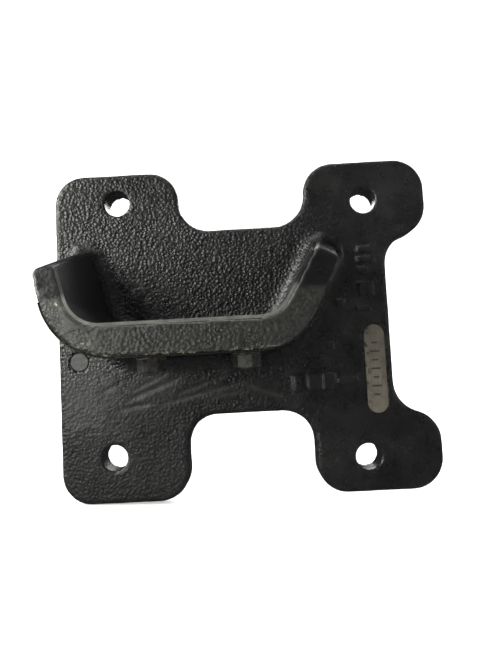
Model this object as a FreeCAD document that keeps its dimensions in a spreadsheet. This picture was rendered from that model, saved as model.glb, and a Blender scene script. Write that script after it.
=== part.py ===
import FreeCAD, Part
import math
import os
import Sketcher

# Stair gate latch: one iron casting (four-lug plate with an open keeper cradle),
# a thin wear liner clamped in the cradle by two screws, an identity strip and a test plug.
# Frame: X right, Z up, back mounting face on Y = 0, front toward -Y, millimetres.
# Origin: centre of the bolt pattern on the back face.

os.makedirs("parts", exist_ok=True)
doc = FreeCAD.newDocument("stair_gate_latch")
V = FreeCAD.Vector
Rot = FreeCAD.Rotation
Pl = FreeCAD.Placement

# every size of the part, in millimetres or degrees
sizes = {
    # plate
    "plate_thickness": 11.0, "turn": 2.4,
    "left_edge": -86.2, "right_edge": 90.5, "top_edge": 76.8, "bottom_edge": -78.5,
    "top_notch_left": -26.5, "top_notch_right": 33.0, "top_notch_floor": 47.6,
    "bottom_notch_left": -26.6, "bottom_notch_right": 32.2, "bottom_notch_floor": -39.9,
    "waist_edge": 70.0, "upper_lug_low": 43.9, "upper_waist_top": 36.6,
    "lower_lug_high": -46.1, "lower_waist_low": -39.3,
    "corner_radius": 14.0, "right_corner_radius": 14.6, "notch_radius": 14.0,
    "wide_notch_radius": 15.0,
    "front_edge_radius": 2.0, "back_edge_radius": 0.8,
    # bolt pattern
    "bolt_half_x": 58.7, "bolt_half_z": 60.0, "bolt_hole_radius": 5.75, "hole_rim_radius": 1.0,
    # cradle walls: outer skin, inner skin under the liner, arm ends at the root
    "cradle_reach": 62.0,
    "in_floor": -1.2, "in_floor_left": -56.86, "in_floor_right": 15.66,
    "out_floor": -12.3, "out_floor_left": -64.05, "out_floor_right": 22.57,
    "in_end_right_x": 39.97, "in_end_right_z": 42.11, "out_end_right_x": 47.4, "out_end_right_z": 38.2,
    "in_end_left_x": -70.05, "in_end_left_z": 42.55, "out_end_left_x": -75.88, "out_end_left_z": 41.05,
    "in_radius_left": 13.2, "in_radius_right": 12.2, "out_radius_left": 26.0, "out_radius_right": 24.0,
    "arm_slope": 20.5, "tip_corner_radius": 2.4, "cradle_edge_radius": 1.6, "root_radius": 8.0,
    "relief_start": 9.0, "relief_top": 42.0, "relief_depth": 5.6,
    # liner and its screws
    "liner_thickness": 1.2, "liner_back": 19.6, "liner_setback": 0.15,
    "screw_x_left": -36.0, "screw_x_right": 2.6, "screw_depth": 42.0,
    "screw_radius": 3.0, "screw_hole_radius": 3.2, "head_radius": 6.0, "screw_length": 18.9,
    "head_flat": 0.2, "socket_radius": 2.31, "socket_depth": 1.9,
    "washer_radius": 6.0, "washer_bore": 3.2, "washer_thickness": 1.0,
    "nut_corner": 5.77, "nut_flat": 5.0, "nut_height": 5.0, "nut_bore": 3.05,
    # identity strip
    "strip_x": 61.8, "strip_z": -22.2, "strip_half_width": 4.7, "strip_half_run": 15.8,
    "strip_thickness": 1.2, "strip_pocket": 1.0, "strip_gap": 0.12,
    # test plug
    "plug_x": -76.2, "plug_z": -12.3, "plug_radius": 4.25, "plug_pocket_radius": 4.65,
    "plug_depth": 3.0, "plug_stem_radius": 3.4,
    # raised blank marks
    "mark_height": 0.8,
}
sheet = doc.addObject("Spreadsheet::Sheet", "dims")
sheet.Label = "dims"
for row, (name, value) in enumerate(sizes.items(), start=1):
    sheet.set("A%d" % row, name)
    sheet.set("B%d" % row, repr(value))
    sheet.setAlias("B%d" % row, name)
doc.recompute()
S = sizes

# the casting was trimmed slightly askew of its bolt pattern
CAST_TURN = Rot(V(0, 1, 0), -S["turn"])


def new_body(name, place):
    body = doc.addObject("PartDesign::Body", name)
    body.Label = name
    body.Placement = place
    return body


def new_sketch(body, name, role, offset=None):
    """Sketch on one of the body's own origin planes."""
    sketch = body.newObject("Sketcher::SketchObject", name)
    plane = [f for f in body.Origin.OriginFeatures if f.Role == role][0]
    sketch.AttachmentSupport = [(plane, "")]
    sketch.MapMode = "FlatFace"
    if offset:
        sketch.AttachmentOffset = offset
    return sketch


def term(value):
    """Sheet alias or plain number -> number and expression."""
    if isinstance(value, str):
        sign = -1.0 if value.startswith("-") else 1.0
        alias = value.lstrip("-")
        return sign * S[alias], ("-" if sign < 0 else "") + "dims." + alias
    return float(value), None


def pin(sketch, kind, geo, pos, value):
    number, formula = term(value)
    index = sketch.addConstraint(Sketcher.Constraint(kind, -1, 1, geo, pos, number))
    if formula:
        sketch.setExpression("Constraints[%d]" % index, formula)


def polygon(sketch, corners):
    """Closed outline of straight lines through corners given as aliases or numbers."""
    count = len(corners)
    points = [V(term(x)[0], term(y)[0], 0) for x, y in corners]
    first = sketch.GeometryCount
    for i in range(count):
        sketch.addGeometry(Part.LineSegment(points[i], points[(i + 1) % count]), False)
    for i in range(count):
        a = first + i
        b = first + (i + 1) % count
        sketch.addConstraint(Sketcher.Constraint("Coincident", a, 2, b, 1))
    for i, (x, y) in enumerate(corners):
        pin(sketch, "DistanceX", first + i, 1, x)
        pin(sketch, "DistanceY", first + i, 1, y)


def circle(sketch, x, y, radius):
    cx = term(x)[0]
    cy = term(y)[0]
    number, formula = term(radius)
    geo = sketch.addGeometry(Part.Circle(V(cx, cy, 0), V(0, 0, 1), number), False)
    pin(sketch, "DistanceX", geo, 3, x)
    pin(sketch, "DistanceY", geo, 3, y)
    index = sketch.addConstraint(Sketcher.Constraint("Radius", geo, number))
    if formula:
        sketch.setExpression("Constraints[%d]" % index, formula)


def slot(sketch, x, y, half_width, half_run):
    """Upright slot with full-round ends."""
    top = sketch.addGeometry(Part.ArcOfCircle(Part.Circle(V(x, y + half_run, 0), V(0, 0, 1), half_width),
                                              0, math.pi), False)
    low = sketch.addGeometry(Part.ArcOfCircle(Part.Circle(V(x, y - half_run, 0), V(0, 0, 1), half_width),
                                              math.pi, 2 * math.pi), False)
    left = sketch.addGeometry(Part.LineSegment(V(x - half_width, y + half_run, 0),
                                               V(x - half_width, y - half_run, 0)), False)
    right = sketch.addGeometry(Part.LineSegment(V(x + half_width, y - half_run, 0),
                                                V(x + half_width, y + half_run, 0)), False)
    for a, pa, b, pb in ((top, 2, left, 1), (left, 2, low, 1), (low, 2, right, 1), (right, 2, top, 1)):
        sketch.addConstraint(Sketcher.Constraint("Tangent", a, pa, b, pb))
    pin(sketch, "DistanceX", top, 3, x)
    pin(sketch, "DistanceY", top, 3, y + half_run)
    pin(sketch, "DistanceY", low, 3, y - half_run)
    sketch.addConstraint(Sketcher.Constraint("Radius", top, half_width))


def pad(body, name, sketch, length, **options):
    feature = body.newObject("PartDesign::Pad", name)
    feature.Profile = sketch
    number, formula = term(length)
    feature.Length = number
    if formula:
        feature.setExpression("Length", formula)
    for key, value in options.items():
        setattr(feature, key, value)
    doc.recompute()
    return feature


def pocket(body, name, sketch, length=None, **options):
    before = body.Tip.Shape.Volume
    feature = body.newObject("PartDesign::Pocket", name)
    feature.Profile = sketch
    if length is None:
        feature.Type = "ThroughAll"
    else:
        number, formula = term(length)
        feature.Length = number
        if formula:
            feature.setExpression("Length", formula)
    for key, value in options.items():
        setattr(feature, key, value)
    doc.recompute()
    if feature.Shape.Volume > before - 0.01:
        raise RuntimeError("pocket %s removed nothing" % name)
    return feature


def dress(body, name, kind, radius, test):
    """Fillet or Chamfer on the edges of the present tip that pass the test."""
    base = body.Tip
    picked = ["Edge%d" % (i + 1) for i, edge in enumerate(base.Shape.Edges) if test(edge)]
    if not picked:
        raise RuntimeError("no edges for " + name)
    feature = body.newObject("PartDesign::" + kind, name)
    feature.Base = (base, picked)
    number, formula = term(radius)
    key = "Radius" if kind == "Fillet" else "Size"
    setattr(feature, key, number)
    if formula:
        feature.setExpression(key, formula)
    doc.recompute()
    if not feature.Shape.isValid() or "Invalid" in feature.State:
        raise RuntimeError("bad " + name)
    return feature


def middle(edge):
    return edge.valueAt((edge.FirstParameter + edge.LastParameter) / 2.0)


def upright(x, z, reach=0.6):
    """Test for an edge that runs in depth through the point x, z."""
    def test(edge):
        box = edge.BoundBox
        point = middle(edge)
        near = abs(point.x - x) < reach and abs(point.z - z) < reach
        return near and box.XLength < reach and box.ZLength < reach and box.YLength > 3
    return test


def any_of(tests):
    return lambda edge: any(test(edge) for test in tests)


# ---------------------------------------------------------------- casting
casting = new_body("casting", Pl(V(0, 0, 0), CAST_TURN))
outline = [
    ("left_edge", "top_edge"), ("left_edge", "bottom_edge"),
    ("bottom_notch_left", "bottom_edge"), ("bottom_notch_left", "bottom_notch_floor"),
    ("bottom_notch_right", "bottom_notch_floor"), ("bottom_notch_right", "bottom_edge"),
    ("right_edge", "bottom_edge"), ("right_edge", "lower_lug_high"),
    ("waist_edge", "lower_waist_low"), ("waist_edge", "upper_waist_top"),
    ("right_edge", "upper_lug_low"), ("right_edge", "top_edge"),
    ("top_notch_right", "top_edge"), ("top_notch_right", "top_notch_floor"),
    ("top_notch_left", "top_notch_floor"), ("top_notch_left", "top_edge"),
]
plate_sketch = new_sketch(casting, "plate_outline", "XZ_Plane")
polygon(plate_sketch, outline)
pad(casting, "plate", plate_sketch, "plate_thickness")
corner_groups = {
    "corner_radius": [0, 1, 2, 5, 12, 15],
    "right_corner_radius": [6, 7, 8, 9, 10, 11],
    "notch_radius": [3, 14],
    "wide_notch_radius": [4, 13],
}
for alias, members in corner_groups.items():
    tests = [upright(S[outline[i][0]], S[outline[i][1]]) for i in members]
    dress(casting, "plate_" + alias, "Fillet", alias, any_of(tests))

cradle_sketch = new_sketch(casting, "cradle_outline", "XZ_Plane")
polygon(cradle_sketch, [
    ("in_end_right_x", "in_end_right_z"), ("in_floor_right", "in_floor"),
    ("in_floor_left", "in_floor"), ("in_end_left_x", "in_end_left_z"),
    ("out_end_left_x", "out_end_left_z"), ("out_floor_left", "out_floor"),
    ("out_floor_right", "out_floor"), ("out_end_right_x", "out_end_right_z"),
])
cradle = pad(casting, "cradle", cradle_sketch, S["plate_thickness"] + S["cradle_reach"])
cradle.setExpression("Length", "dims.plate_thickness + dims.cradle_reach")
doc.recompute()
for alias, x, z in (("in_radius_left", "in_floor_left", "in_floor"),
                    ("in_radius_right", "in_floor_right", "in_floor"),
                    ("out_radius_left", "out_floor_left", "out_floor"),
                    ("out_radius_right", "out_floor_right", "out_floor")):
    dress(casting, "cradle_" + alias, "Fillet", alias, upright(S[x], S[z]))

FRONT = S["plate_thickness"] + S["cradle_reach"]
FACE = S["plate_thickness"]
# arm ends slope back: (centre of the end at the front, lean of the arm from upright)
arm_ends = {"left": (-66.3, 20.8, -14.4), "right": (32.8, 21.0, 27.8)}


def slope_arms(body, wedge_drop=0.0, inset=0.0):
    """Trim both arm ends so that they grow longer toward the plate."""
    for side, (x, z, lean) in arm_ends.items():
        turn_about_depth = Pl(V(0, z, x), Rot(V(1, 0, 0), lean))
        sketch = new_sketch(body, "%s_%s_end" % (body.Name, side), "YZ_Plane", turn_about_depth)
        rate = S["arm_slope"] / S["cradle_reach"]
        low = -8.0 * rate - wedge_drop
        polygon(sketch, [(-FRONT - 8.0, low), (-FACE + inset, S["arm_slope"] - wedge_drop),
                         (-FACE + inset, 60.0), (-FRONT - 8.0, 60.0)])
        pocket(body, "%s_%s_slope" % (body.Name, side), sketch, 36.0, Midplane=True)


def relieve_tips(body, setback=0.0):
    """Both arm tips lean back a little above relief_start."""
    sketch = new_sketch(body, body.Name + "_tip_side", "YZ_Plane")
    polygon(sketch, [(-FRONT + setback, S["relief_start"]), (-FRONT + setback + S["relief_depth"], S["relief_top"]),
                     (-FRONT - 6.0, S["relief_top"]), (-FRONT - 6.0, S["relief_start"])])
    pocket(body, body.Name + "_tip_relief", sketch, 260.0, Midplane=True)


slope_arms(casting)
relieve_tips(casting)


def arm_corner(edge):
    """Long edges where an arm end meets the arm sides."""
    box = edge.BoundBox
    point = middle(edge)
    return box.YLength > 40 and point.z > 20 and point.y < -FACE - 5


dress(casting, "arm_corners", "Fillet", "tip_corner_radius", arm_corner)


def root_edge(edge):
    """Edges where the cradle meets the plate front."""
    box = edge.BoundBox
    flat = abs(box.YMin + FACE) < 0.01 and abs(box.YMax + FACE) < 0.01
    inside = -78.0 < box.XMin and box.XMax < 50.0 and -13.0 < box.ZMin and box.ZMax < 46.0
    return flat and inside


dress(casting, "root_fillet", "Fillet", "root_radius", root_edge)


def cradle_front_edge(edge):
    """Outer rim of the cradle front below the tips; the inner rim carries the liner."""
    box = edge.BoundBox
    point = middle(edge)
    if box.YMin < -FRONT - 0.01 or box.YMax > -FRONT + 0.01 or point.z > S["relief_start"] - 0.01:
        return False
    on_floor = box.ZMax < S["in_floor"] + 0.01 and box.ZMin > S["in_floor"] - 0.01
    bend_left = math.hypot(point.x + 43.66, point.z - 12.0) < 19.0
    bend_right = math.hypot(point.x - 8.5, point.z - 11.0) < 15.0
    return not (on_floor or bend_left or bend_right)


dress(casting, "cradle_rim", "Fillet", "cradle_edge_radius", cradle_front_edge)


def plate_rim(depth):
    """Outline edges of the plate at one depth."""
    def test(edge):
        box = edge.BoundBox
        point = middle(edge)
        flat = abs(box.YMin + depth) < 0.01 and abs(box.YMax + depth) < 0.01
        round_cradle = -85.0 < point.x < 56.0 and -21.0 < point.z < 45.5
        over_arms = (-85.0 < point.x < -60.0 or 30.0 < point.x < 56.0) and 45.0 < point.z < 53.0
        return flat and not round_cradle and not over_arms
    return test


dress(casting, "plate_front_edge", "Fillet", "front_edge_radius", plate_rim(FACE))
dress(casting, "plate_back_edge", "Fillet", "back_edge_radius", plate_rim(0.0))

# four through holes, square to the wall, so turned back against the casting
bolt_sketch = new_sketch(casting, "bolt_holes", "XZ_Plane", Pl(V(0, 0, 0), Rot(V(0, 0, 1), -S["turn"])))
for x in ("-bolt_half_x", "bolt_half_x"):
    for z in ("-bolt_half_z", "bolt_half_z"):
        circle(bolt_sketch, x, z, "bolt_hole_radius")
pocket(casting, "bolt_bores", bolt_sketch, Midplane=True)


def hole_rim(edge):
    box = edge.BoundBox
    flat = abs(box.YMin + FACE) < 0.01 and abs(box.YMax + FACE) < 0.01
    return flat and abs(box.XLength - 2 * S["bolt_hole_radius"]) < 0.01 and abs(box.ZLength - box.XLength) < 0.01


dress(casting, "bolt_rims", "Fillet", "hole_rim_radius", hole_rim)

# screw holes in the cradle floor with countersinks that carry on the liner's
screw_sketch = new_sketch(casting, "screw_holes", "XY_Plane", Pl(V(0, 0, S["in_floor"] + 1.0), Rot()))
for x in ("screw_x_left", "screw_x_right"):
    circle(screw_sketch, x, "-screw_depth", "screw_hole_radius")
pocket(casting, "screw_bores", screw_sketch, 20.0)


def screw_rim(edge):
    box = edge.BoundBox
    level = abs(box.ZMin - S["in_floor"]) < 0.01 and abs(box.ZMax - S["in_floor"]) < 0.01
    return level and abs(box.XLength - 2 * S["screw_hole_radius"]) < 0.01 and abs(box.YLength - box.XLength) < 0.01


# the head's cone leaves the liner at this radius and goes on into the casting
SINK_RADIUS = S["head_radius"] - (S["liner_thickness"] - S["head_flat"])
dress(casting, "screw_sinks", "Chamfer", SINK_RADIUS - S["screw_hole_radius"] + 0.02, screw_rim)

# seat of the identity strip and of the test plug
strip_sketch = new_sketch(casting, "strip_seat", "XZ_Plane", Pl(V(0, 0, FACE), Rot()))
slot(strip_sketch, S["strip_x"], S["strip_z"], S["strip_half_width"] + S["strip_gap"], S["strip_half_run"])
pocket(casting, "strip_recess", strip_sketch, "strip_pocket")
plug_sketch = new_sketch(casting, "plug_seat", "XZ_Plane", Pl(V(0, 0, FACE), Rot()))
circle(plug_sketch, "plug_x", "plug_z", "plug_pocket_radius")
pocket(casting, "plug_recess", plug_sketch, 0.7)
stem_sketch = new_sketch(casting, "plug_stem_seat", "XZ_Plane", Pl(V(0, 0, FACE), Rot()))
circle(stem_sketch, "plug_x", "plug_z", S["plug_stem_radius"] + 0.05)
pocket(casting, "plug_bore", stem_sketch, "plug_depth")

# raised blank marks: (centre x, centre z, half width, half height)
marks = [
    (60.2, 34.0, 3.6, 1.1), (60.2, 29.2, 3.6, 1.1), (58.6, 24.4, 2.2, 1.1),
    (57.6, 15.0, 1.1, 3.4), (61.4, 15.0, 1.1, 3.4), (57.8, 5.6, 3.2, 1.1),
    (47.0, 9.0, 1.6, 1.6), (41.0, -10.6, 1.6, 1.6),
    (26.0, -27.0, 2.6, 3.6), (33.0, -27.0, 2.6, 3.6), (40.0, -27.0, 2.6, 3.6), (48.6, -27.0, 4.2, 1.2),
]
mark_sketch = new_sketch(casting, "mark_outlines", "XZ_Plane", Pl(V(0, 0, FACE - 0.5), Rot()))
for x, z, w, h in marks:
    polygon(mark_sketch, [(x - w, z - h), (x + w, z - h), (x + w, z + h), (x - w, z + h)])
pad(casting, "marks", mark_sketch, S["mark_height"] + 0.5)


def mark_top(edge):
    box = edge.BoundBox
    top = -FACE - S["mark_height"]
    return abs(box.YMin - top) < 0.01 and abs(box.YMax - top) < 0.01 and box.XMin > 20


dress(casting, "mark_edges", "Fillet", 0.35, mark_top)

# ---------------------------------------------------------------- wear liner
liner = new_body("cradle_liner", Pl(V(0, 0, 0), CAST_TURN))
liner_sketch = new_sketch(liner, "liner_outline", "XZ_Plane", Pl(V(0, 0, S["liner_back"]), Rot()))
# skins of the liner: the lower one lies on the casting, the upper one is 1.2 mm above it
arm_right = V(0.4893, 0, 0.8721)
arm_left = V(-0.2887, 0, 0.9574)
low_right = V(S["in_floor_right"], 0, S["in_floor"])
low_left = V(S["in_floor_left"], 0, S["in_floor"])
end_right = low_right + arm_right * 51.0
end_left = low_left + arm_left * 47.0
T = S["liner_thickness"]
in_right = V(-arm_right.z, 0, arm_right.x) * T
in_left = V(arm_left.z, 0, -arm_left.x) * T
top_right = V(low_right.x + in_right.x - (in_right.z - T) * arm_right.x / arm_right.z, 0, S["in_floor"] + T)
top_left = V(low_left.x + in_left.x - (in_left.z - T) * arm_left.x / arm_left.z, 0, S["in_floor"] + T)
polygon(liner_sketch, [
    (end_right.x, end_right.z), (low_right.x, low_right.z), (low_left.x, low_left.z), (end_left.x, end_left.z),
    (end_left.x + in_left.x, end_left.z + in_left.z), (top_left.x, top_left.z),
    (top_right.x, top_right.z), (end_right.x + in_right.x, end_right.z + in_right.z),
])
pad(liner, "liner_sheet", liner_sketch, FRONT - S["liner_back"] - S["liner_setback"])
dress(liner, "liner_top_left", "Fillet", S["in_radius_left"] - T, upright(top_left.x, top_left.z, 0.4))
dress(liner, "liner_top_right", "Fillet", S["in_radius_right"] - T, upright(top_right.x, top_right.z, 0.4))
dress(liner, "liner_low_left", "Fillet", "in_radius_left", upright(low_left.x, low_left.z, 0.4))
dress(liner, "liner_low_right", "Fillet", "in_radius_right", upright(low_right.x, low_right.z, 0.4))
slope_arms(liner, 2.2)
relieve_tips(liner, S["liner_setback"])
liner_holes = new_sketch(liner, "liner_holes", "XY_Plane", Pl(V(0, 0, S["in_floor"] + T), Rot()))
for x in ("screw_x_left", "screw_x_right"):
    circle(liner_holes, x, "-screw_depth", S["head_radius"] - T + S["head_flat"])
pocket(liner, "liner_bores", liner_holes, 6.0, Midplane=True)


def liner_rim(edge):
    box = edge.BoundBox
    high = S["in_floor"] + T
    level = abs(box.ZMin - high) < 0.01 and abs(box.ZMax - high) < 0.01
    return level and box.XLength < 13 and abs(box.YLength - box.XLength) < 0.01


dress(liner, "liner_sinks", "Chamfer", T - S["head_flat"], liner_rim)

# ---------------------------------------------------------------- screws, washers, nuts
UNDER = S["out_floor"]
hexagon = [(math.cos(math.radians(a)), math.sin(math.radians(a))) for a in range(0, 360, 60)]


def revolve(body, name, sketch):
    feature = body.newObject("PartDesign::Revolution", name)
    feature.Profile = sketch
    feature.ReferenceAxis = (sketch, ["V_Axis"])
    feature.Angle = 360.0
    doc.recompute()
    return feature


def in_cradle(x, z, spin=0.0):
    """Placement of an upright fastener on the cradle floor."""
    local = Pl(V(x, -S["screw_depth"], z), Rot(V(0, 0, 1), spin))
    return Pl(V(0, 0, 0), CAST_TURN).multiply(local)


for side, x, spin in (("left", S["screw_x_left"], 11.0), ("right", S["screw_x_right"], -7.0)):
    screw = new_body("liner_screw_" + side, in_cradle(x, S["in_floor"] + T, spin))
    profile = new_sketch(screw, "screw_profile_" + side, "XZ_Plane")
    cone = S["head_radius"] - S["screw_radius"]
    polygon(profile, [(0.0, 0.0), (S["head_radius"] - 0.04, 0.0), (S["head_radius"] - 0.04, -S["head_flat"]),
                      ("screw_radius", -S["head_flat"] - cone + 0.04), ("screw_radius", -S["screw_length"] + 0.8),
                      (S["screw_radius"] - 0.8, "-screw_length"), (0.0, "-screw_length")])
    revolve(screw, "screw_turn_" + side, profile)
    socket = new_sketch(screw, "socket_" + side, "XY_Plane")
    polygon(socket, [(S["socket_radius"] * c, S["socket_radius"] * s) for c, s in hexagon])
    pocket(screw, "socket_cut_" + side, socket, "socket_depth")

    washer = new_body("liner_washer_" + side, in_cradle(x, UNDER))
    ring = new_sketch(washer, "washer_ring_" + side, "XY_Plane")
    circle(ring, 0.0, 0.0, "washer_radius")
    circle(ring, 0.0, 0.0, "washer_bore")
    pad(washer, "washer_disc_" + side, ring, "washer_thickness", Reversed=True)
    dress(washer, "washer_edge_" + side, "Chamfer", 0.25,
          lambda edge: edge.BoundBox.XLength > 11.0 and abs(edge.BoundBox.ZMin + S["washer_thickness"]) < 0.01
          and edge.BoundBox.ZLength < 0.01)

    nut = new_body("liner_nut_" + side, in_cradle(x, UNDER - S["washer_thickness"], spin))
    flats = new_sketch(nut, "nut_flats_" + side, "XY_Plane")
    polygon(flats, [(S["nut_corner"] * c, S["nut_corner"] * s) for c, s in hexagon])
    circle(flats, 0.0, 0.0, "nut_bore")
    pad(nut, "nut_block_" + side, flats, "nut_height", Reversed=True)
    bevel = new_sketch(nut, "nut_bevel_" + side, "XZ_Plane")
    polygon(bevel, [(S["nut_flat"] - 0.2, -S["nut_height"] - 0.01), (7.0, -S["nut_height"] - 0.01),
                    (7.0, -S["nut_height"] + 1.26)])
    groove = nut.newObject("PartDesign::Groove", "nut_chamfer_" + side)
    groove.Profile = bevel
    groove.ReferenceAxis = (bevel, ["V_Axis"])
    groove.Angle = 360.0
    doc.recompute()

# ---------------------------------------------------------------- identity strip
strip_place = Pl(V(0, 0, 0), CAST_TURN).multiply(
    Pl(V(S["strip_x"], -FACE + S["strip_pocket"], S["strip_z"]), Rot()))
strip = new_body("id_strip", strip_place)
strip_outline = new_sketch(strip, "strip_outline", "XZ_Plane")
slot(strip_outline, 0.0, 0.0, S["strip_half_width"], S["strip_half_run"])
pad(strip, "strip_sheet", strip_outline, "strip_thickness")
tick_sketch = new_sketch(strip, "strip_ticks", "XZ_Plane", Pl(V(0, 0, S["strip_thickness"]), Rot()))
for step in range(7):
    z = 12.0 - 4.0 * step
    w = 2.2 if step % 2 else 1.4
    h = 0.4
    polygon(tick_sketch, [(-w, z - h), (w, z - h), (w, z + h), (-w, z + h)])
pocket(strip, "strip_stamps", tick_sketch, 0.25)

# ---------------------------------------------------------------- test plug
plug_place = Pl(V(0, 0, 0), CAST_TURN).multiply(Pl(V(S["plug_x"], -FACE, S["plug_z"]), Rot(V(1, 0, 0), 90)))
plug = new_body("witness_plug", plug_place)
plug_profile = new_sketch(plug, "plug_profile", "XZ_Plane")
polygon(plug_profile, [(0.0, 0.1), (S["plug_radius"] - 0.3, 0.1), ("plug_radius", -0.2), ("plug_radius", -0.7),
                       ("plug_stem_radius", -0.7), ("plug_stem_radius", -S["plug_depth"]),
                       (0.0, -S["plug_depth"])])
revolve(plug, "plug_turn", plug_profile)

doc.recompute()
for item in doc.Objects:
    if "Invalid" in item.State or "Error" in item.State:
        raise RuntimeError("broken feature " + item.Name)
for body in doc.Objects:
    if body.TypeId != "PartDesign::Body":
        continue
    if not body.Shape.isValid() or len(body.Shape.Solids) != 1:
        raise RuntimeError("bad body " + body.Name)
    body.Shape.exportStep("parts/%s.step" % body.Label)
    box = body.Shape.BoundBox
    print(body.Label, round(body.Shape.Volume, 1), [round(v, 1) for v in
          (box.XMin, box.XMax, box.YMin, box.YMax, box.ZMin, box.ZMax)])
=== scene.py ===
import math

import bmesh
import bpy
import numpy as np
from mathutils import Matrix, Vector, noise


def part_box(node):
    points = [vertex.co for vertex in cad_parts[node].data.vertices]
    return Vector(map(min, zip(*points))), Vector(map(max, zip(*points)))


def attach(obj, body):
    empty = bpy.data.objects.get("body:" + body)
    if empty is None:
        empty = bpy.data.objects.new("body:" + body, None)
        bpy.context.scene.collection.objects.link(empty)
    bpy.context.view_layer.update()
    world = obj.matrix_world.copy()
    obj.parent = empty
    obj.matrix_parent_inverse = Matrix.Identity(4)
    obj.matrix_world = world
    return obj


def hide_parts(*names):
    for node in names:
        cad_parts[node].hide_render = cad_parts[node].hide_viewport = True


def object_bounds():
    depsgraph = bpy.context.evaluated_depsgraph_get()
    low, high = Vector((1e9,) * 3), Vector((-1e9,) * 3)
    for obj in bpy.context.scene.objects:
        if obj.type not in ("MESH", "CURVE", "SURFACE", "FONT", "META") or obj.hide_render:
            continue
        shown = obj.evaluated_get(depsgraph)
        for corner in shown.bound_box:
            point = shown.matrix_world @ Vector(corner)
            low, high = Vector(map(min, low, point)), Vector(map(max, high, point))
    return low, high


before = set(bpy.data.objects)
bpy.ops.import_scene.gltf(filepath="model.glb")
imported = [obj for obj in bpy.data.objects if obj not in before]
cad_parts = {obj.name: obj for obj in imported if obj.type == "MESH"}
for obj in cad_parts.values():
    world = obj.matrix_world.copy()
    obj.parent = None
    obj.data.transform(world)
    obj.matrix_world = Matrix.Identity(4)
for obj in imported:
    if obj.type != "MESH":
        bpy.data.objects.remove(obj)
cad_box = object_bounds()
MM = 0.001

# the casting's shape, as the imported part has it: its turn against the bolt pattern, the plate's
# thickness, the cradle's reach, the root fillets, the outer bends (x, z, radius) and the arm tips
TURN = math.radians(2.4)
PLATE = 11.0 * MM
FRONT = 73.0 * MM
ROOT_RADIUS = 8.0 * MM
LEFT_BEND = (-43.18 * MM, 13.7 * MM, 26.0 * MM)
RIGHT_BEND = (7.62 * MM, 11.7 * MM, 24.0 * MM)
TIP_START = 9.0 * MM

# the cradle's inner walls, which the liner covers: their x at the height LINER_LOW, and their lean
LINER_LOW = -1.2 * MM
LEFT_WALL = -57.9 * MM
LEFT_LEAN = 0.3016
RIGHT_WALL = 16.7 * MM
RIGHT_LEAN = 0.561

# the raised blank marks: the most they rise, their span across the casting, and their top
MARKS_RISE = 0.9 * MM
MARKS_ACROSS = (24.0 * MM, 66.0 * MM)
MARKS_TOP = 40.0 * MM

# the casting's new mesh: its cell, and the bend that may be flattened when it is thinned out
VOXEL = 0.80 * MM
FLAT_ANGLE = math.radians(0.4)
BEAD_RADIUS = 0.42 * MM

# the masks that the enamel reads from the mesh, and its colours; the pale edge colour paints a highlight on
# convex edges, and the tip colour paints shade on the arm tips
MASKS = ("grain", "satin", "wear", "edge", "sand", "tip")
ENAMEL_DARK = (0.0045, 0.0048, 0.0047)
ENAMEL_LIGHT = (0.011, 0.0115, 0.011)
DUST = (0.075, 0.070, 0.058)
PAINTED_RIM_HIGHLIGHT = (0.15, 0.147, 0.135)
SANDED = (0.019, 0.0188, 0.0165)
PAINTED_TIP_SHADE = (0.0022, 0.0023, 0.0023)
BARE_IRON = (0.36, 0.325, 0.24)

# drag grooves in the coating, as runs over the plate: from, to, width, depth (mm)
DRAGS = (
    ((-54.0, -34.0), (-27.0, -23.0), 1.5, 0.45), ((-57.0, -38.0), (-40.0, -35.0), 1.3, 0.35),
    ((-38.0, -36.0), (0.0, -26.0), 1.4, 0.35), ((0.0, -26.0), (20.0, -33.0), 1.4, 0.30),
    ((-52.0, -30.0), (-34.0, -21.0), 1.0, 0.25), ((-30.0, -31.0), (-6.0, -22.0), 1.1, 0.30),
    ((-20.0, -33.5), (6.0, -29.0), 1.0, 0.25), ((-66.0, -30.0), (-56.0, -26.0), 1.0, 0.20),
)

# the stage, in metres: its floor, the sweep up from it, the wall, and the points around it
FLOOR_RADIUS = 0.9
SWEEP_RADIUS = 0.6
SWEEP_STEPS = 8
WALL_HEIGHT = 2.2
AROUND = 48

# soft area lights: name, place, target, size, power, colour
DAYLIGHT = (1.0, 1.0, 0.95)
WHITE = (1.0, 1.0, 1.0)
LIGHTS = (
    ("window_left", (-0.75, -0.42, 0.30), (-0.03, -0.02, 0.0), (0.45, 0.6), 9.0, DAYLIGHT),
    ("window_near", (-0.38, -0.75, 0.02), (-0.05, -0.01, -0.03), (0.22, 0.34), 1.05, DAYLIGHT),
    ("sky_top", (-0.10, -0.30, 0.85), (0.0, -0.02, 0.0), (0.6, 0.4), 1.6, WHITE),
    ("fill_right", (0.8, -0.6, 0.15), (0.0, -0.02, 0.0), (0.3, 0.4), 0.35, WHITE),
    ("back_glow", (0.2, 0.8, 0.6), (0.0, 0.0, 0.0), (0.9, 0.6), 8.0, WHITE),
)
ROOM_COLOR = (0.9, 0.95, 1.0, 1.0)
ROOM_STRENGTH = 0.04

# the photograph's view: place (mm), turns (degrees, axis) and lens (mm)
VIEW_PLACE = (6.104, -241.845, -15.412)
VIEW_TURNS = ((0.757, "Z"), (3.596, "X"), (0.582, "Y"))
VIEW_LENS = 26.99


def smooth(low, high, value):
    """Smooth step from 0 at low to 1 at high, on arrays."""
    t = np.clip((value - low) / (high - low), 0.0, 1.0)
    return t * t * (3.0 - 2.0 * t)


def to_casting(points):
    """X and Z along the casting's own outline, which is turned against its bolt pattern."""
    x = points[:, 0] * math.cos(TURN) + points[:, 2] * math.sin(TURN)
    z = -points[:, 0] * math.sin(TURN) + points[:, 2] * math.cos(TURN)
    return x, z


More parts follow.
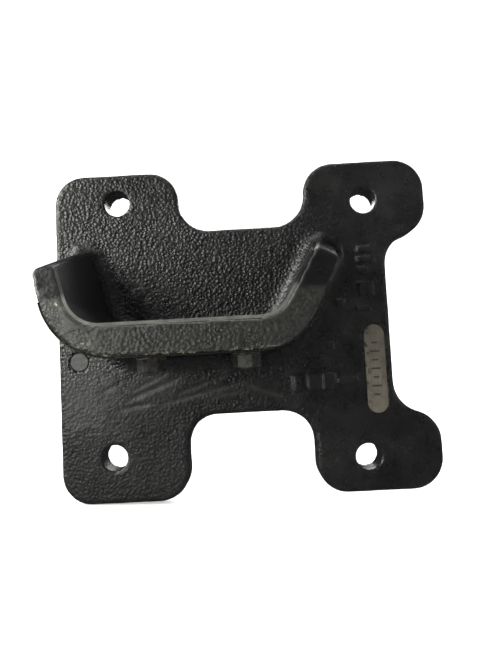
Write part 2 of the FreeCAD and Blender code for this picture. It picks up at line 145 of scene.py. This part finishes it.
def from_casting(x, y, z):
    """The row's place of a point that is given along the casting's own outline."""
    return Vector((x * math.cos(TURN) - z * math.sin(TURN), y, x * math.sin(TURN) + z * math.cos(TURN)))


def in_scene(name, data):
    """A new object in the scene."""
    obj = bpy.data.objects.new(name, data)
    bpy.context.scene.collection.objects.link(obj)
    return obj


def evaluated(obj):
    """A mesh of the object as its modifiers or its curve settings make it."""
    graph = bpy.context.evaluated_depsgraph_get()
    return bpy.data.meshes.new_from_object(obj.evaluated_get(graph))


# ---------------------------------------------------------------- materials
class Nodes:
    """Short helper around one material's node tree."""

    def __init__(self, name):
        self.material = bpy.data.materials.new(name)
        self.material.use_nodes = True
        self.tree = self.material.node_tree
        self.shader = self.tree.nodes["Principled BSDF"]
        self.place = self.add("ShaderNodeTexCoord").outputs["Object"]

    def add(self, kind, **settings):
        node = self.tree.nodes.new(kind)
        for key, value in settings.items():
            setattr(node, key, value)
        return node

    def link(self, source, target):
        self.tree.links.new(source, target)

    def noise(self, scale, detail=4.0, rough=0.55, stretch=None):
        node = self.add("ShaderNodeTexNoise")
        node.inputs["Scale"].default_value = scale
        node.inputs["Detail"].default_value = detail
        node.inputs["Roughness"].default_value = rough
        place = self.place
        if stretch:
            mapping = self.add("ShaderNodeMapping")
            mapping.inputs["Scale"].default_value = stretch
            self.link(self.place, mapping.inputs["Vector"])
            place = mapping.outputs["Vector"]
        self.link(place, node.inputs["Vector"])
        return node.outputs["Fac"]

    def cells(self, scale, smoothness=0.6):
        node = self.add("ShaderNodeTexVoronoi", feature="SMOOTH_F1")
        node.inputs["Scale"].default_value = scale
        node.inputs["Smoothness"].default_value = smoothness
        self.link(self.place, node.inputs["Vector"])
        return node.outputs["Distance"]

    def ramp(self, source, low, high, start=0.0, end=1.0):
        node = self.add("ShaderNodeMapRange")
        node.inputs["From Min"].default_value = low
        node.inputs["From Max"].default_value = high
        node.inputs["To Min"].default_value = start
        node.inputs["To Max"].default_value = end
        self.link(source, node.inputs["Value"])
        return node.outputs["Result"]

    def math(self, kind, a, b):
        node = self.add("ShaderNodeMath", operation=kind)
        for socket, value in zip(node.inputs, (a, b)):
            if isinstance(value, (int, float)):
                socket.default_value = value
            else:
                self.link(value, socket)
        return node.outputs[0]

    def mix(self, factor, a, b):
        node = self.add("ShaderNodeMix", data_type="RGBA")
        self.link(factor, node.inputs["Factor"])
        for socket, value in zip((node.inputs[6], node.inputs[7]), (a, b)):
            if isinstance(value, tuple):
                socket.default_value = value + (1.0,)
            else:
                self.link(value, socket)
        return node.outputs[2]

    def mask(self, name):
        return self.add("ShaderNodeAttribute", attribute_name=name).outputs["Fac"]

    def axis(self, name):
        node = self.add("ShaderNodeSeparateXYZ")
        self.link(self.place, node.inputs[0])
        return node.outputs[name]

    def bump(self, height, strength, distance, under=None):
        node = self.add("ShaderNodeBump")
        node.inputs["Distance"].default_value = distance
        if isinstance(strength, (int, float)):
            node.inputs["Strength"].default_value = strength
        else:
            self.link(strength, node.inputs["Strength"])
        self.link(height, node.inputs["Height"])
        if under:
            self.link(under, node.inputs["Normal"])
        return node.outputs["Normal"]

    def finish(self, color=None, rough=None, metal=None, normal=None, **fixed):
        sources = {"Base Color": color, "Roughness": rough, "Metallic": metal, "Normal": normal}
        for name, source in sources.items():
            if source is not None:
                self.link(source, self.shader.inputs[name])
        for name, value in fixed.items():
            self.shader.inputs[name.replace("_", " ")].default_value = value
        return self.material


def coated_iron():
    """Black glossy enamel over rough cast iron, with a painted highlight on its convex edges, painted shade
    on its arm tips, and bare at a few.
    """
    n = Nodes("coated_iron")
    patches = n.noise(55.0, 5.0)
    dust = n.noise(900.0, 3.0, 0.7)
    base = n.mix(n.ramp(patches, 0.35, 0.7), ENAMEL_DARK, ENAMEL_LIGHT)
    base = n.mix(n.ramp(dust, 0.68, 0.76), base, DUST)
    # painted highlight: where the edge mask is set, the enamel turns pale as if its convex edges caught the
    # light
    painted_rim_highlight = n.math("MULTIPLY", n.mask("edge"), n.ramp(n.noise(300.0, 4.0), 0.25, 0.65, 0.35, 1.0))
    base = n.mix(painted_rim_highlight, base, PAINTED_RIM_HIGHLIGHT)
    base = n.mix(n.math("MULTIPLY", n.mask("sand"), n.ramp(dust, 0.3, 0.6)), base, SANDED)
    # painted shade: the arm tips are darkened towards black
    base = n.mix(n.math("MULTIPLY", n.mask("tip"), 0.8), base, PAINTED_TIP_SHADE)
    speckle = n.ramp(n.noise(750.0, 5.0, 0.7), 0.54, 0.64)
    worn = n.math("MULTIPLY", n.mask("wear"), speckle)
    color = n.mix(worn, base, BARE_IRON)
    rough = n.ramp(n.noise(160.0, 4.0), 0.3, 0.7, 0.22, 0.36)
    rough = n.math("ADD", rough, n.math("MULTIPLY", n.mask("satin"), 0.20))
    grain = n.math("MULTIPLY", n.noise(1300.0, 3.0), 0.35)
    height = n.math("ADD", n.cells(760.0, 0.5), grain)
    normal = n.bump(height, n.mask("grain"), 0.00058)
    normal = n.bump(n.noise(2600.0, 2.0), 0.12, 0.00012, normal)
    metal = n.math("MULTIPLY", worn, 0.75)
    return n.finish(color, rough, metal, normal, Coat_Weight=0.25, Coat_Roughness=0.15)


def liner_plastic():
    """Smooth near-black nylon sheet, with a painted highlight along its cut front edge."""
    n = Nodes("liner_nylon")
    # painted highlight: a pale line along the liner's cut front edge
    edge = n.ramp(n.axis("Y"), -FRONT + 0.2 * MM, -FRONT + 0.5 * MM, 1.0, 0.0)
    painted_edge_highlight = n.math("MULTIPLY", edge, n.ramp(n.noise(260.0, 4.0), 0.25, 0.6, 0.45, 1.0))
    scuffs = n.noise(300.0, 6.0, 0.6, (1.0, 6.0, 1.0))
    base = n.mix(n.ramp(scuffs, 0.4, 0.75), (0.007, 0.0074, 0.0073), (0.015, 0.0155, 0.015))
    color = n.mix(painted_edge_highlight, base, (0.085, 0.083, 0.075))
    rough = n.ramp(scuffs, 0.3, 0.7, 0.34, 0.52)
    return n.finish(color, rough, None, n.bump(scuffs, 0.25, 0.0001))


def fastener_steel():
    """Dark plated steel with worn spots and faint turning marks."""
    n = Nodes("fastener_steel")
    spots = n.noise(480.0, 5.0, 0.6)
    color = n.mix(n.ramp(spots, 0.42, 0.68), (0.070, 0.070, 0.067), (0.17, 0.165, 0.15))
    rough = n.ramp(spots, 0.3, 0.7, 0.30, 0.48)
    return n.finish(color, rough, None, n.bump(n.noise(1800.0, 3.0), 0.3, 0.00006), Metallic=0.85)


def bare_strip():
    """Bare dull metal strip with blotches, drag marks and chipped coating at its rim."""
    n = Nodes("bare_strip")
    blotch = n.noise(170.0, 6.0, 0.62)
    drag = n.noise(500.0, 4.0, 0.6, (1.0, 1.0, 0.12))
    color = n.mix(n.ramp(blotch, 0.32, 0.68), (0.080, 0.070, 0.053), (0.155, 0.137, 0.104))
    color = n.mix(n.ramp(drag, 0.55, 0.8), color, (0.20, 0.185, 0.15))
    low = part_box("id_strip")[0]
    stamps = n.ramp(n.axis("Y"), low[1] + 0.06 * MM, low[1] + 0.18 * MM)
    fade = n.ramp(n.axis("Z"), low[2], low[2] + 40.0 * MM, 0.0, 0.6)
    color = n.mix(fade, color, (0.060, 0.053, 0.041))
    color = n.mix(n.math("MULTIPLY", stamps, 0.8), color, (0.020, 0.019, 0.017))
    near_left = n.ramp(n.axis("X"), low[0] + 1.0 * MM, low[0] + 4.0 * MM, 1.0, 0.0)
    chips = n.math("MULTIPLY", n.ramp(n.noise(330.0, 5.0, 0.6), 0.50, 0.57), near_left)
    color = n.mix(chips, color, (0.022, 0.022, 0.021))
    rough = n.ramp(blotch, 0.3, 0.7, 0.42, 0.62)
    return n.finish(color, rough, None, n.bump(drag, 0.35, 0.00009), Metallic=0.35)


def plug_iron():
    """The same enamel, smoother on the small turned plug."""
    n = Nodes("plug_iron")
    patches = n.noise(420.0, 5.0)
    color = n.mix(n.ramp(patches, 0.35, 0.7), (0.016, 0.0165, 0.016), (0.035, 0.035, 0.033))
    rough = n.ramp(patches, 0.3, 0.7, 0.34, 0.5)
    normal = n.bump(n.cells(620.0), 0.45, 0.0003)
    return n.finish(color, rough, None, normal, Coat_Weight=0.3, Coat_Roughness=0.2)


def stage_paper():
    """Plain pale paper that glows a little, so that it stays even."""
    n = Nodes("stage_paper")
    tone = n.mix(n.noise(3.0, 2.0), (0.86, 0.86, 0.85), (0.88, 0.88, 0.87))
    material = n.finish(tone, Roughness=0.9, Emission_Strength=0.42)
    n.shader.inputs["Emission Color"].default_value = (1.0, 1.0, 0.99, 1.0)
    return material


# ---------------------------------------------------------------- casting surface
def segment_distance(x, z, a, b):
    """Distance in the plate's plane from each point to the run from a to b, and the way along it."""
    run = (b[0] - a[0], b[1] - a[1])
    span = run[0] ** 2 + run[1] ** 2
    along = np.clip(((x - a[0]) * run[0] + (z - a[1]) * run[1]) / span, 0.0, 1.0)
    return np.hypot(x - a[0] - along * run[0], z - a[1] - along * run[1]), along


def sampled(points, scale, offset):
    """Smooth noise at each point, from -1 to 1."""
    shift = Vector(offset)
    return np.array([noise.noise(Vector(p) * scale + shift) for p in points])


def remeshed(node, voxel):
    """Evenly meshed copy of a CAD node."""
    copy = node.copy()
    copy.data = node.data.copy()
    bpy.context.scene.collection.objects.link(copy)
    copy.parent = None
    modifier = copy.modifiers.new("remesh", "REMESH")
    modifier.mode = "VOXEL"
    modifier.voxel_size = voxel
    mesh = evaluated(copy)
    bpy.data.objects.remove(copy)
    return mesh


def under_liner(x, y, z):
    """1 on the cradle's inner walls, which the liner covers, and 0 elsewhere."""
    low = smooth(LINER_LOW - 1.2 * MM, LINER_LOW - 0.4 * MM, z)
    left = smooth(LEFT_WALL - 1.0 * MM, LEFT_WALL, x + LEFT_LEAN * (z - LINER_LOW))
    right = smooth(RIGHT_WALL + 1.0 * MM, RIGHT_WALL, x - RIGHT_LEAN * (z - LINER_LOW))
    return low * left * right * (y < -PLATE - ROOT_RADIUS)


def convexity(mesh, points, normals):
    """1 on rounded outer edges, 0 on flat and hollow places, from each point's neighbours."""
    pairs = np.empty(len(mesh.edges) * 2, dtype=np.int64)
    mesh.edges.foreach_get("vertices", pairs)
    a = pairs[0::2]
    b = pairs[1::2]
    total = np.zeros_like(points)
    share = np.zeros(len(points))
    values = points
    for _ in range(2):
        total[:] = 0.0
        share[:] = 0.0
        np.add.at(total, a, values[b])
        np.add.at(total, b, values[a])
        np.add.at(share, a, 1.0)
        np.add.at(share, b, 1.0)
        values = total / share[:, None]
    rise = np.einsum("ij,ij->i", points - values, normals) / VOXEL
    return smooth(0.10, 0.34, rise)


def mesh_arrays(mesh):
    """Each vertex's place and normal, as rows."""
    points = np.empty(len(mesh.vertices) * 3)
    mesh.vertices.foreach_get("co", points)
    normals = np.empty(len(mesh.vertices) * 3)
    mesh.vertex_normals.foreach_get("vector", normals)
    return points.reshape(-1, 3), normals.reshape(-1, 3)


def write_masks(mesh, masks):
    for name, values in masks.items():
        layer = mesh.attributes.new(name, "FLOAT", "POINT")
        layer.data.foreach_set("value", values.astype(np.float32))


def plain_masks(mesh, **given):
    """The enamel's masks on a small piece: even values, or a list with one for each vertex."""
    even = np.ones(len(mesh.vertices))
    write_masks(mesh, {name: even * given.get(name, 0.0) for name in MASKS})


def drag_marks(points, normals):
    """Depth of the drag grooves at each point, and how smeared the skin is around them."""
    groove = np.zeros(len(points))
    smear = np.zeros(len(points))
    on_plate = (np.abs(points[:, 1] + PLATE) < 1.5 * MM) & (normals[:, 1] < -0.6)
    for start, end, width, depth in DRAGS:
        a = (start[0] * MM, start[1] * MM)
        b = (end[0] * MM, end[1] * MM)
        away, along = segment_distance(points[:, 0], points[:, 2], a, b)
        fade = np.sin(np.pi * (0.08 + 0.84 * along))
        groove += on_plate * depth * MM * fade * np.exp(-(away / (0.65 * width * MM)) ** 2)
        smear = np.maximum(smear, on_plate * fade * np.exp(-(away / (3.2 * width * MM)) ** 2))
    return groove, smear


def bare_places(x, y, z):
    """Where the enamel is worn through: along the lower front edge and on the left elbow."""
    low_rim = np.exp(-((y + FRONT - 1.2 * MM) / (1.3 * MM)) ** 2) * smooth(-9.6 * MM, -11.4 * MM, z)
    low_rim *= smooth(22.0 * MM, 8.0 * MM, x) * smooth(-58.0 * MM, -50.0 * MM, x)
    elbow = np.exp(-(((x + 61.5 * MM) / (3.0 * MM)) ** 2 + ((z - 6.5 * MM) / (2.6 * MM)) ** 2))
    elbow += 0.9 * np.exp(-(((x + 54.0 * MM) / (3.4 * MM)) ** 2 + ((z + 7.5 * MM) / (1.8 * MM)) ** 2))
    elbow *= smooth(-FRONT + 3.0 * MM, -FRONT + 1.0 * MM, y)
    return np.clip(low_rim * 0.8 + 0.8 * elbow, 0.0, 1.0)


def cast_surface():
    """The casting as it left the mould: pebbled skin, smoother tips with painted shade, drag marks, and a
    painted highlight on convex edges.
    """
    mesh = remeshed(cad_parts["casting"], VOXEL)
    points, normals = mesh_arrays(mesh)
    x, z = to_casting(points)
    y = points[:, 1]
    on_back = smooth(-1.2 * MM, -0.2 * MM, y)
    in_front = smooth(-PLATE - 1.0 * MM, -PLATE - 14.0 * MM, y)
    # the skin is coarse at the left and smoother at the right, on the arm tips and inside the cradle
    coarse = 1.0 - 0.55 * smooth(10.0 * MM, 60.0 * MM, x)
    coarse *= 1.0 - 0.45 * smooth(-8.0 * MM, -28.0 * MM, z) - 0.30 * smooth(50.0 * MM, 66.0 * MM, z)
    tips = smooth(TIP_START - 1.5 * MM, TIP_START + 1.5 * MM, z) * in_front
    inner = under_liner(x, y, z)
    root = smooth(-PLATE - 0.5 * MM, -PLATE - 3.0 * MM, y) * (1.0 - in_front)
    face = smooth(-FRONT + 5.0 * MM, -FRONT + 1.5 * MM, y) * smooth(-0.5, -0.9, normals[:, 1])
    skin = coarse * (1.0 - 0.95 * tips) * (1.0 - 0.7 * root) * (1.0 - 0.6 * face)
    skin = skin * (1.0 - inner) * (1.0 - on_back)
    groove, smear = drag_marks(points, normals)
    skin = skin * (1.0 - 0.8 * smear)
    pebble = sampled(points, 1.0 / (2.0 * MM), (3.1, 7.7, 1.3)) * 0.5 + 0.5
    coarse_wave = sampled(points, 1.0 / (6.5 * MM), (9.4, 2.2, 5.8)) * 0.5 + 0.5
    broad = sampled(points, 1.0 / (24.0 * MM), (4.0, 1.0, 8.0)) * 0.5 + 0.5
    low_left = smooth(-8.0 * MM, -28.0 * MM, z) * smooth(-10.0 * MM, -40.0 * MM, x)
    calm = (1.0 - on_back) * (1.0 - inner)
    drop = 0.16 * MM * pebble * skin + (0.12 * coarse_wave + 0.12 * broad) * MM * calm + groove
    points = points - normals * drop[:, None]
    mesh.vertices.foreach_set("co", points.ravel())
    # the edge mask: a painted highlight on the cradle's convex edges, and paler along the drag grooves
    painted_rim_highlight = convexity(mesh, points, normals) * in_front + 0.22 * groove / (0.45 * MM)
    write_masks(mesh, {
        "grain": np.clip(0.12 + 0.88 * skin, 0.0, 1.0) * (1.0 - 0.8 * on_back),
        "satin": np.clip(0.1 * tips + 0.7 * inner + 0.15 * smear + 0.7 * low_left, 0.0, 1.0),
        "edge": np.clip(painted_rim_highlight, 0.0, 1.0),
        "sand": face * (1.0 - tips),
        "tip": tips,
        "wear": bare_places(x, y, z),
    })
    mesh.shade_smooth()
    obj = in_scene("casting_skin", mesh)
    mesh.materials.clear()
    mesh.materials.append(coated_iron())
    thin_out(obj)
    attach(obj, "root")
    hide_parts("casting")


def thin_out(obj):
    """Fewer faces where the surface is flat, with flat shading on the machined back."""
    modifier = obj.modifiers.new("thin", "DECIMATE")
    modifier.decimate_type = "DISSOLVE"
    modifier.angle_limit = FLAT_ANGLE
    mesh = evaluated(obj)
    obj.modifiers.clear()
    obj.data = mesh
    for face in mesh.polygons:
        if face.normal.y > 0.999:
            face.use_smooth = False


def blank_marks():
    """The raised blank marks on the plate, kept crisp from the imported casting."""
    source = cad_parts["casting"].data
    mesh = bpy.data.meshes.new("blank_marks")
    spots = [v.co.copy() for v in source.vertices]
    raised = [-PLATE - MARKS_RISE < p.y < -PLATE + 0.02 * MM for p in spots]
    across = [p.x * math.cos(TURN) + p.z * math.sin(TURN) for p in spots]
    faces = []
    for face in source.polygons:
        keys = list(face.vertices)
        own = all(raised[k] for k in keys) and min(spots[k].y for k in keys) < -PLATE - 0.3 * MM
        inside = all(MARKS_ACROSS[0] < across[k] < MARKS_ACROSS[1] and spots[k].z < MARKS_TOP for k in keys)
        if own and inside:
            faces.append(keys)
    used = sorted({k for keys in faces for k in keys})
    place = {k: i for i, k in enumerate(used)}
    mesh.from_pydata([spots[k] for k in used], [], [[place[k] for k in keys] for keys in faces])
    shell = bmesh.new()
    shell.from_mesh(mesh)
    bmesh.ops.remove_doubles(shell, verts=shell.verts, dist=0.001 * MM)
    bmesh.ops.holes_fill(shell, edges=[edge for edge in shell.edges if edge.is_boundary], sides=0)
    shell.to_mesh(mesh)
    shell.free()
    obj = in_scene("blank_marks", mesh)
    # painted highlight: the marks' rounded sides take the pale edge colour as glints, their tops only a
    # little
    painted_glint_sides = [0.75 if v.co.y > -PLATE - 0.6 * MM else 0.12 for v in mesh.vertices]
    plain_masks(mesh, grain=0.25, edge=painted_glint_sides)
    mesh.materials.append(bpy.data.materials["coated_iron"])
    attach(obj, "root")


def outer_profile():
    """The cradle's outer line seen from the front, left arm to right arm, in the casting's frame."""
    line = []
    for bend, start, sweep, steps in ((LEFT_BEND, 192.0, 78.0, 14), (RIGHT_BEND, 270.0, 64.0, 11)):
        cx, cz, r = bend
        for step in range(steps + 1):
            angle = math.radians(start + sweep * step / steps)
            line.append((cx + r * math.cos(angle), cz + r * math.sin(angle)))
    return line


def parting_bead():
    """Thin flash left by the mould along the lower front rim of the cradle."""
    curve = bpy.data.curves.new("parting_bead", "CURVE")
    curve.dimensions = "3D"
    curve.bevel_depth = BEAD_RADIUS
    curve.bevel_resolution = 3
    curve.use_fill_caps = True
    line = outer_profile()
    spline = curve.splines.new("POLY")
    spline.points.add(len(line) - 1)
    for index, (point, (px, pz)) in enumerate(zip(spline.points, line)):
        wobble = noise.noise(Vector((index * 0.9, 2.0, 4.0)))
        place = from_casting(px, -FRONT + (1.35 + 0.25 * wobble) * MM, pz + 0.02 * MM)
        point.co = (place.x, place.y, place.z, 1.0)
        point.radius = 0.75 + 0.35 * wobble
    obj = in_scene("parting_bead", curve)
    mesh = evaluated(obj)
    bpy.data.objects.remove(obj)
    bead = in_scene("parting_bead", mesh)
    # painted highlight: the edge mask paints a pale line along the whole bead; wear adds bare-metal speckle
    plain_masks(mesh, grain=0.3, wear=0.6, edge=1.0)
    mesh.shade_smooth()
    mesh.materials.clear()
    mesh.materials.append(bpy.data.materials["coated_iron"])
    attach(bead, "root")


def dress_nodes():
    """Procedural materials on the CAD pieces that keep their own shape."""
    steel = fastener_steel()
    finishes = {"cradle_liner": liner_plastic(), "id_strip": bare_strip(), "witness_plug": plug_iron()}
    for name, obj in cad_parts.items():
        if name == "casting":
            continue
        for material_slot in obj.material_slots:
            material_slot.material = finishes.get(name, steel)


# ---------------------------------------------------------------- stage, light, camera
def stage():
    """Pale paper: a floor under the object that sweeps up far behind and around it."""
    low = cad_box[0][2]
    rings = [(1.0 * MM, low), (FLOOR_RADIUS, low)]
    for step in range(1, SWEEP_STEPS + 1):
        angle = math.radians(90.0 * step / SWEEP_STEPS)
        across = FLOOR_RADIUS + SWEEP_RADIUS * math.sin(angle)
        rings.append((across, low + SWEEP_RADIUS * (1.0 - math.cos(angle))))
    rings.append((FLOOR_RADIUS + SWEEP_RADIUS, low + WALL_HEIGHT))
    verts = []
    faces = []
    for radius, height in rings:
        for k in range(AROUND):
            angle = 2.0 * math.pi * k / AROUND
            verts.append((radius * math.cos(angle), radius * math.sin(angle), height))
    for i in range(len(rings) - 1):
        for k in range(AROUND):
            a = i * AROUND + k
            b = i * AROUND + (k + 1) % AROUND
            faces.append((a, b, b + AROUND, a + AROUND))
    faces.append(tuple(reversed(range(AROUND))))
    mesh = bpy.data.meshes.new("stage_bowl")
    mesh.from_pydata(verts, [], faces)
    mesh.shade_smooth()
    mesh.materials.append(stage_paper())
    bowl = in_scene("stage_bowl", mesh)
    bowl.visible_glossy = False


def area(name, place, target, size, power, color):
    """A soft rectangular light at place that faces target."""
    data = bpy.data.lights.new(name, "AREA")
    data.shape = "RECTANGLE"
    data.size = size[0]
    data.size_y = size[1]
    data.energy = power
    data.color = color
    lamp = in_scene(name, data)
    lamp.location = place
    lamp.rotation_euler = (Vector(target) - Vector(place)).to_track_quat("-Z", "Y").to_euler()


def lights():
    world = bpy.data.worlds.new("soft_room")
    world.use_nodes = True
    background = world.node_tree.nodes["Background"]
    background.inputs["Color"].default_value = ROOM_COLOR
    background.inputs["Strength"].default_value = ROOM_STRENGTH
    bpy.context.scene.world = world
    for light in LIGHTS:
        area(*light)


def camera():
    """The photograph's view: near, almost square to the plate, a little from below."""
    data = bpy.data.cameras.new("view")
    data.sensor_width = 36.0
    data.sensor_fit = "AUTO"
    data.lens = VIEW_LENS
    data.clip_start = 0.01
    turn = Matrix.Identity(3)
    for degrees, axis in VIEW_TURNS:
        turn = turn @ Matrix.Rotation(math.radians(degrees), 3, axis)
    right, ahead, up = turn.col
    basis = Matrix((right, up, -ahead)).transposed()
    obj = in_scene("view", data)
    obj.matrix_world = Matrix.Translation(Vector(VIEW_PLACE) * MM) @ basis.to_4x4()
    bpy.context.scene.camera = obj


dress_nodes()
cast_surface()
parting_bead()
blank_marks()
stage()
lights()
camera()
bpy.context.scene.view_settings.view_transform = "Standard"
